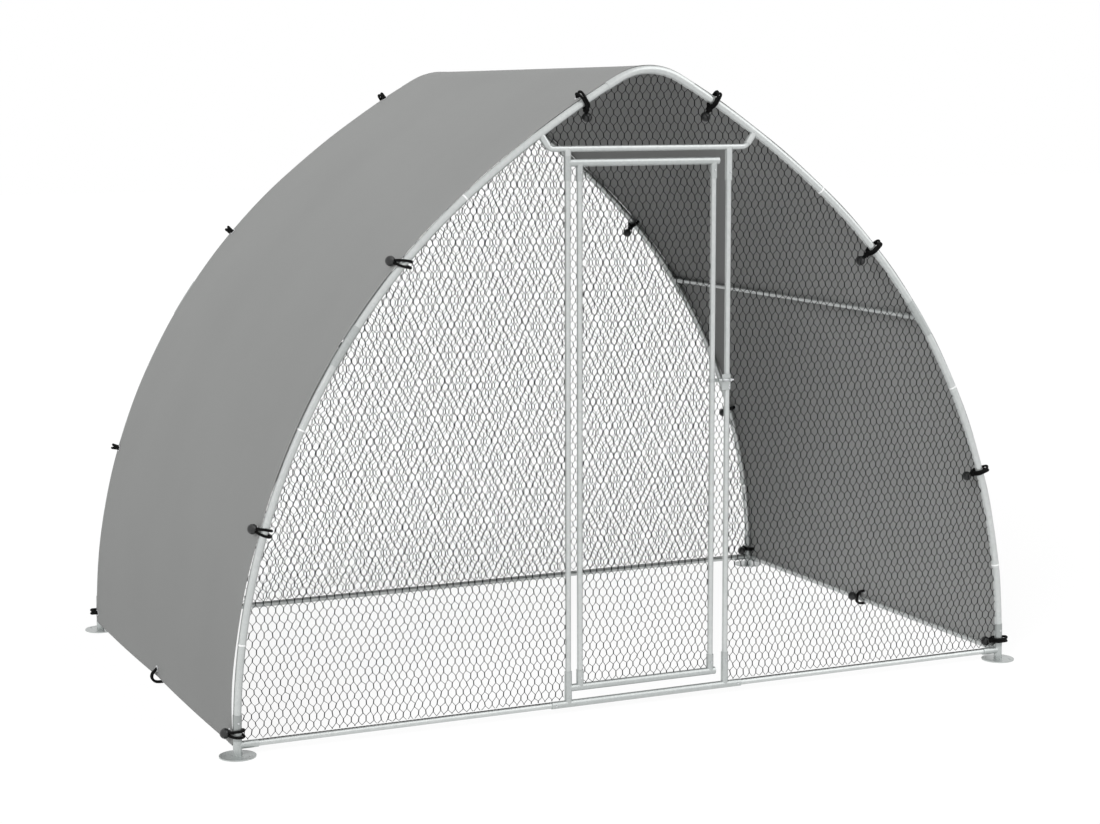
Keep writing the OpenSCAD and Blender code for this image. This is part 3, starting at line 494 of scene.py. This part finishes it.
ties = {"turns": (58.45, 42.2, 17.5), "lowHeight": 0.072, "eyeletIn": 0.028, "eyeletOut": 0.0146,
        "cord": 0.0044, "cordSides": 8, "coil": 0.0066, "ball": 0.0165, "ballNear": 0.0413, "ballFar": 0.0513,
        "ballAside": 0.007, "ballDrop": 0.005, "outsideLeft": (1, 2, 3), "levelOne": 1, "levelTurn": 12}
lowTurn = math.degrees(math.asin((ties["lowHeight"] - arch["spring"]) / arch["legR"]))
tieTurns = list(ties["turns"]) + [lowTurn]
cover = {"low": 0.036, "thick": 0.0007, "edgeOut": 0.0148, "middleOut": 0.0135, "legSlack": 0.0055,
         "haunchSlack": 0.0042, "haunchEnd": 44.5, "edgeFade": 0.11, "hem": 0.03, "purlinAt": 34.0,
         "rearGap": 0.0065, "rearOut": 0.0146, "rearBlend": 0.15, "lowSlack": 0.006, "lowFade": 0.10,
         "edgeWave": 0.0006, "foldOut": 0.0004, "foldIn": 0.0002, "step": 0.75, "columns": 60}
# the hem is rolled behind the left front haunch: distance behind the tube, distance out from its middle
rolledHem = [(0.0, 0.0140), (0.008, 0.0131), (0.0135, 0.0062),
             (0.018, 0.0040), (0.024, 0.0060), (0.031, 0.0128)]


def archLine(step):  # from the right hem over the peak to the left hem: point, way out, turn
    notch = [cover["purlinAt"] + d for d in (-0.55, -0.4, 0.4, 0.55)]
    turns = sorted({*archAngles(0.0, 90.0, step), *notch})
    right = [(np.array([arch["span"] / 2, cover["low"]]), np.array([1.0, 0.0]), -1.0)]
    right += [(archPoint(a), turnWay(a), a) for a in turns]
    left = [(np.array([-p[0], p[1]]), np.array([-n[0], n[1]]), a) for p, n, a in right[:-1][::-1]]
    return right + left


def bulge(turn, start, end, skew):
    share = (turn - start) / (end - start)
    return math.sin(math.pi * share ** skew) if 0 < share < 1 else 0.0


def hemRoll(back):
    return float(np.interp(back, [b for b, out in rolledHem], [out for b, out in rolledHem]))


def leftSlack(turn):  # the left front edge stands off a little below the shoulder, and its hem is rolled
    haunch = bulge(turn, tieTurns[2], cover["haunchEnd"], 1.0)
    slack = cover["legSlack"] * bulge(turn, tieTurns[3], tieTurns[2], 0.55) + cover["haunchSlack"] * haunch
    rolled = min(1.0, 1.6 * haunch) if abs(turn - cover["purlinAt"]) > 0.45 else 0.0
    return slack, rolled


def coverSheet():
    line = archLine(cover["step"])
    lengths = [np.linalg.norm(line[i + 1][0] - line[i][0]) for i in range(len(line) - 1)]
    run = np.concatenate([[0], np.cumsum(lengths)])
    total = run[-1]
    hem = cover["hem"]
    ys = sorted({-halfDepth, halfDepth, halfDepth - hem, halfDepth - hem + 0.003,
                 *np.linspace(-halfDepth + 0.045, halfDepth - 0.006, cover["columns"]),
                 *[-halfDepth + b for b, out in rolledHem]})
    verts, faces = [], []
    for layer in (0, 1):  # outer side, then the back
        for i, (p, n, turn) in enumerate(line):
            slack, rolled = leftSlack(turn) if p[0] < 0 else (0.0, 0.0)
            fromLow = min(run[i], total - run[i])
            for y in ys:
                inset = halfDepth - abs(y)
                edge = math.exp(-inset / cover["edgeFade"])
                out = cover["middleOut"] * (1 - edge)
                out += (cover["edgeOut"] + slack if y < 0 else cover["rearOut"]) * edge
                sag = math.sin(math.pi * min(1.0, abs(y) / halfDepth)) ** 0.8 if abs(y) < halfDepth else 0.0
                out += cover["lowSlack"] * sag * math.exp(-fromLow / cover["lowFade"])
                ripple = math.sin(run[i] * 21 + 2.2 * math.sin(y * 5))
                out += cover["edgeWave"] * ripple * edge  # small waves beside the edge
                folded = inset < hem - 0.001 or fromLow < hem
                if layer == 0:
                    out += cover["foldOut"] if folded else 0.0
                else:
                    out += -cover["thick"] - (cover["foldIn"] if folded else 0.0)
                    if halfDepth + y < rolledHem[-1][0]:
                        out -= rolled * max(0.0, out - hemRoll(halfDepth + y))
                q = p + n * out
                # on the left it stops before the rear tube
                leftShare = 1 - math.tanh(p[0] / cover["rearBlend"])
                verts.append((q[0], y - cover["rearGap"] * leftShare * max(0.0, y / halfDepth), q[1]))
    rows, cols = len(line), len(ys)
    size = rows * cols
    for i in range(rows - 1):
        for j in range(cols - 1):
            a, b, c, d = i * cols + j, i * cols + j + 1, (i + 1) * cols + j + 1, (i + 1) * cols + j
            faces.append((a, d, c, b))
            faces.append((size + a, size + b, size + c, size + d))
    rim = list(range(cols)) + [i * cols + cols - 1 for i in range(1, rows)]
    rim += [(rows - 1) * cols + j for j in range(cols - 2, -1, -1)]
    rim += [i * cols for i in range(rows - 2, 0, -1)]
    for a, b in zip(rim, rim[1:] + rim[:1]):
        faces.append((a, b, size + b, size + a))
    piece = meshPiece("coverSheet", (verts, faces), finish["cover_cloth"], "frame")
    piece.data.materials.append(coverBack)
    for face in piece.data.polygons:
        face.material_index = 1 if min(face.vertices) >= size else 0
    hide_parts("cover")
    return piece, total


sheet, coverRun = coverSheet()
print("cover run over the arches: %.3f m" % coverRun)


# ties: an eyelet in the cover, a doubled cord round the tube and a ball

# a strand in the tie's own directions: out of the run, from the tube to the eyelet, half the strands' gap
insideRun = [(0.0225, 0.0225, 0.0028), (0.0140, 0.0287, 0.0022), (-0.0030, 0.0289, 0.0026),
             (-0.0158, 0.0188, 0.0038), (-0.0204, 0.0040, 0.0040), (-0.0188, -0.0095, 0.0042),
             (-0.0080, -0.0176, 0.0042), (0.0060, -0.0184, 0.0041), (0.0190, -0.0166, 0.0046),
             (0.0290, -0.0100, 0.0062), (0.0340, 0.0010, 0.0064), (0.0312, 0.0130, 0.0048)]
outsideRun = [(0.0215, 0.0225, 0.0028), (0.0140, 0.0287, 0.0022), (-0.0020, 0.0289, 0.0028),
              (-0.0144, 0.0193, 0.0055), (-0.0203, 0.0060, 0.0085), (-0.0195, -0.0070, 0.0098),
              (-0.0085, -0.0180, 0.0100), (0.0050, -0.0188, 0.0094), (0.0170, -0.0132, 0.0074),
              (0.0250, -0.0025, 0.0050), (0.0268, 0.0090, 0.0040), (0.0248, 0.0170, 0.0037)]
# eyelet section: height through the cloth, distance from the middle of the hole
eyeletProfile = [(-0.0016, 0.0066), (-0.0022, 0.0080), (-0.0019, 0.0102), (-0.0012, 0.0112),
                 (-0.0006, 0.0106), (-0.0005, 0.0088), (0.0005, 0.0088), (0.0008, 0.0108),
                 (0.0015, 0.0115), (0.0022, 0.0104), (0.0024, 0.0082), (0.0018, 0.0067)]
# ball section in radii: ring round the cord hole, then the ball with a low band at its middle
ballProfile = [(-1.02, 0.20), (-0.99, 0.30)]
ballProfile += [tuple(turnWay(b)[::-1]) for b in (-68, -56, -44, -32, -20, -9)]
ballProfile += [(-0.075, 1.0), (-0.06, 1.02), (0.06, 1.02), (0.075, 1.0)]
ballProfile += [tuple(turnWay(b)[::-1]) for b in (9, 20, 32, 44, 56, 68, 80)]


def tiePlaces():  # point on the tube, way out, way to the eyelet, along the tube, ball outside, number
    for sideX in (-1, 1):
        for endY in (-1, 1):
            for i, a in enumerate(tieTurns):
                p, way = archPoint(a), turnWay(a)
                yield (np.array([sideX * p[0], endY * halfDepth, p[1]]),
                       np.array([sideX * way[0], 0, way[1]]), np.array([0, -endY, 0.0]),
                       np.array([-sideX * way[1], 0, way[0]]),
                       sideX < 0 and endY < 0 and i in ties["outsideLeft"], i)
    for sideX in (-1, 1):
        yield (np.array([sideX * arch["span"] / 2, 0, doorway["railH"]]), np.array([sideX, 0, 0.0]),
               np.array([0, 0, 1.0]), np.array([0, 1.0, 0]), False, 4)


def smoothLoop(points, perStep):
    pts = np.array(points, float)
    count = len(pts)
    made = []
    for i in range(count):
        p0, p1, p2, p3 = pts[i - 1], pts[i], pts[(i + 1) % count], pts[(i + 2) % count]
        square, cube = 2 * p0 - 5 * p1 + 4 * p2 - p3, 3 * p1 - p0 - 3 * p2 + p3
        for k in range(perStep):
            t = k / perStep
            made.append(0.5 * (2 * p1 + (p2 - p0) * t + square * t * t + cube * t ** 3))
    return made


def roundBall(centre, axis, radius, sides=24):
    axis, u, v = sideFrame(axis)
    ring = ringWays(u, v, sides)
    verts = [centre + radius * (axis * h + r * way) for h, r in ballProfile for way in ring]
    faces = []
    for i in range(len(ballProfile) - 1):
        for k in range(sides):
            m = (k + 1) % sides
            faces.append((i * sides + k, i * sides + m, (i + 1) * sides + m, (i + 1) * sides + k))
    verts.append(centre + radius * axis * 0.995)
    last = (len(ballProfile) - 1) * sides
    faces += [(last + k, last + (k + 1) % sides, len(verts) - 1) for k in range(sides)]
    faces.append(tuple(range(sides))[::-1])
    return verts, faces


def eyeletRing(centre, axis, sides=28):
    axis, u, v = sideFrame(axis)
    ring = ringWays(u, v, sides)
    verts = [centre + axis * h + r * way for h, r in eyeletProfile for way in ring]
    count = len(eyeletProfile)
    faces = []
    for i in range(count):
        j = (i + 1) % count
        for k in range(sides):
            m = (k + 1) % sides
            faces.append((i * sides + k, i * sides + m, j * sides + m, j * sides + k))
    return verts, faces


def ringCoil(centre, axis, radius, cord):
    axis, u, v = sideFrame(axis)
    turns = np.linspace(0, 2 * math.pi, 20, endpoint=False)
    line = [centre + radius * (math.cos(a) * u + math.sin(a) * v) for a in turns]
    return tubeAlong(line, cord, ties["cordSides"], True)


def levelled(p, out, inward):  # a loop pulled nearly level, through the same eyelet
    way = turnWay(ties["levelTurn"])
    level = np.array([math.copysign(way[0], out[0]), 0, way[1]])
    slant = level / (level @ out)
    return p + (out - slant) * ties["eyeletOut"], slant, np.cross(level, inward)


cordStore, ballStore, eyeletStore = ([], []), ([], []), ([], [])
for p, n, inward, along, outside, number in tiePlaces():
    addTo(eyeletStore, eyeletRing(p + n * ties["eyeletOut"] + inward * ties["eyeletIn"], n))
    if outside and number == ties["levelOne"]:  # this one crosses the tube at a slant
        p, n, along = levelled(p, n, inward)
    at = lambda a, b, c: p + n * a + inward * b + along * c
    for s in (-1, 1):
        line = [at(a, b, s * c) for a, b, c in (outsideRun if outside else insideRun)]
        addTo(cordStore, tubeAlong(smoothLoop(line, 5), ties["cord"], ties["cordSides"], True))
    if outside:
        ballC, neckFrom = at(0.0345, 0.014, 0), at(0.0200, 0.006, 0)
    else:
        far = ties["ballNear"] if number > 1 else ties["ballFar"]
        aside = np.sign(n[0]) * (ties["ballAside"] if number == 0 else 0.0)
        ballC, neckFrom = at(-far, 0.019, 0) + np.array([aside, 0, -ties["ballDrop"]]), at(-0.0190, 0.006, 0)
        for k in (0.10, 0.30):  # the loop is wound over the neck of the ball
            coilAt = neckFrom + (ballC - neckFrom) * k
            addTo(cordStore, ringCoil(coilAt, ballC - neckFrom, ties["coil"], ties["cord"]))
    for s in (-1, 1):  # the two strands of the neck end inside the ball
        start = neckFrom + along * s * 0.0033
        end = ballC + along * s * 0.0026 + (neckFrom - ballC) * 0.3
        neck = [start + (end - start) * t for t in np.linspace(0, 1, 5)]
        addTo(cordStore, tubeAlong(neck, ties["cord"], ties["cordSides"], False))
    addTo(ballStore, roundBall(ballC, ballC - neckFrom, ties["ball"]))
cords = meshPiece("tieCords", cordStore, finish["elastic_cord"], "frame")
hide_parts("tie_cords")
balls = meshPiece("tieBalls", ballStore, finish["ball_plastic"], "frame")
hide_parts("tie_balls")
rings = meshPiece("coverEyelets", eyeletStore, finish["bright_steel"], "frame")
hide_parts("eyelets")
print("ties made")


# stage: pale floor, soft sky, two soft suns, and the camera where the photograph was taken from

def paleFloor():
    half, z = light["floorHalf"], light["floorZ"]
    data = bpy.data.meshes.new("floor")
    corners = [(-half, -half, z), (half, -half, z), (half, half, z), (-half, half, z)]
    data.from_pydata(corners, [], [(0, 1, 2, 3)])
    floor = bpy.data.objects.new("floor", data)
    bpy.context.scene.collection.objects.link(floor)
    made, tree, shader = newMaterial("matt white studio floor")  # near white, keeps a faint shadow
    shader.inputs["Base Color"].default_value = hexColour(light["floorTone"])
    shader.inputs["Roughness"].default_value = 1.0
    shader.inputs["Specular IOR Level"].default_value = 0.0
    path = addNode(tree, "ShaderNodeLightPath").outputs
    seen = addNode(tree, "ShaderNodeMath", {0: path["Is Camera Ray"], 1: path["Is Transmission Ray"]},
                   operation="MAXIMUM")
    mirrored = addNode(tree, "ShaderNodeMath", {0: seen.outputs[0], 1: path["Is Glossy Ray"]},
                       operation="MAXIMUM")
    share = addNode(tree, "ShaderNodeMath", {0: mirrored.outputs[0]}, operation="MULTIPLY")
    share.inputs[1].default_value = light["floorGlow"]
    glow = addNode(tree, "ShaderNodeEmission", Color=(1, 1, 1, 1), Strength=light["glowStrength"])
    mixed = addNode(tree, "ShaderNodeMixShader",
                    {0: share.outputs[0], 1: shader.outputs[0], 2: glow.outputs[0]})
    surface = [n for n in tree.nodes if n.type == "OUTPUT_MATERIAL"][0].inputs["Surface"]
    tree.links.new(mixed.outputs[0], surface)
    data.materials.append(made)


def studioLight():
    world = bpy.data.worlds.new("studioSky")
    bpy.context.scene.world = world
    world.use_nodes = True
    tree = world.node_tree
    tree.nodes.clear()
    path = addNode(tree, "ShaderNodeLightPath").outputs  # white where it is seen, plain light elsewhere
    seen = addNode(tree, "ShaderNodeMath", {0: path["Is Camera Ray"], 1: path["Is Glossy Ray"]},
                   operation="MAXIMUM")
    through = addNode(tree, "ShaderNodeMath", {0: seen.outputs[0], 1: path["Is Transmission Ray"]},
                      operation="MAXIMUM")
    strength = addNode(tree, "ShaderNodeMapRange", {"Value": through.outputs[0]},
                       To_Min=light["world"], To_Max=1.0)
    sky = addNode(tree, "ShaderNodeBackground", {"Strength": strength.outputs[0]}, Color=(1, 1, 1, 1))
    addNode(tree, "ShaderNodeOutputWorld", {"Surface": sky.outputs[0]})
    for name in ("key", "fill"):
        lampData = bpy.data.lights.new(name + "Lamp", "SUN")
        lampData.energy = light[name]
        lampData.angle = math.radians(light[name + "Soft"])
        lamp = bpy.data.objects.new(name + "Lamp", lampData)
        lamp.rotation_euler = Vector(light[name + "From"]).to_track_quat("Z", "Y").to_euler()
        lamp.visible_glossy = name == "fill"  # the tubes mirror the white studio, not the key lamp
        bpy.context.scene.collection.objects.link(lamp)


def photoCamera():
    eyeData = bpy.data.cameras.new("eye")
    eyeData.sensor_fit = "HORIZONTAL"
    eyeData.sensor_width = camera["sensor"]
    eyeData.lens = camera["focalPx"] / camera["imageWidth"] * camera["sensor"]
    eyeData.clip_end = camera["farthest"]
    eye = bpy.data.objects.new("eye", eyeData)
    eye.location = camera["place"]
    look = Euler((math.radians(90 - camera["pitchDown"]), 0, -math.radians(camera["yaw"]))).to_matrix()
    eye.rotation_euler = (look @ Matrix.Rotation(math.radians(camera["roll"]), 3, "Z")).to_euler()
    bpy.context.scene.collection.objects.link(eye)
    bpy.context.scene.camera = eye


paleFloor()
studioLight()
photoCamera()
bpy.context.scene.view_settings.view_transform = "Standard"
print("scene ready")
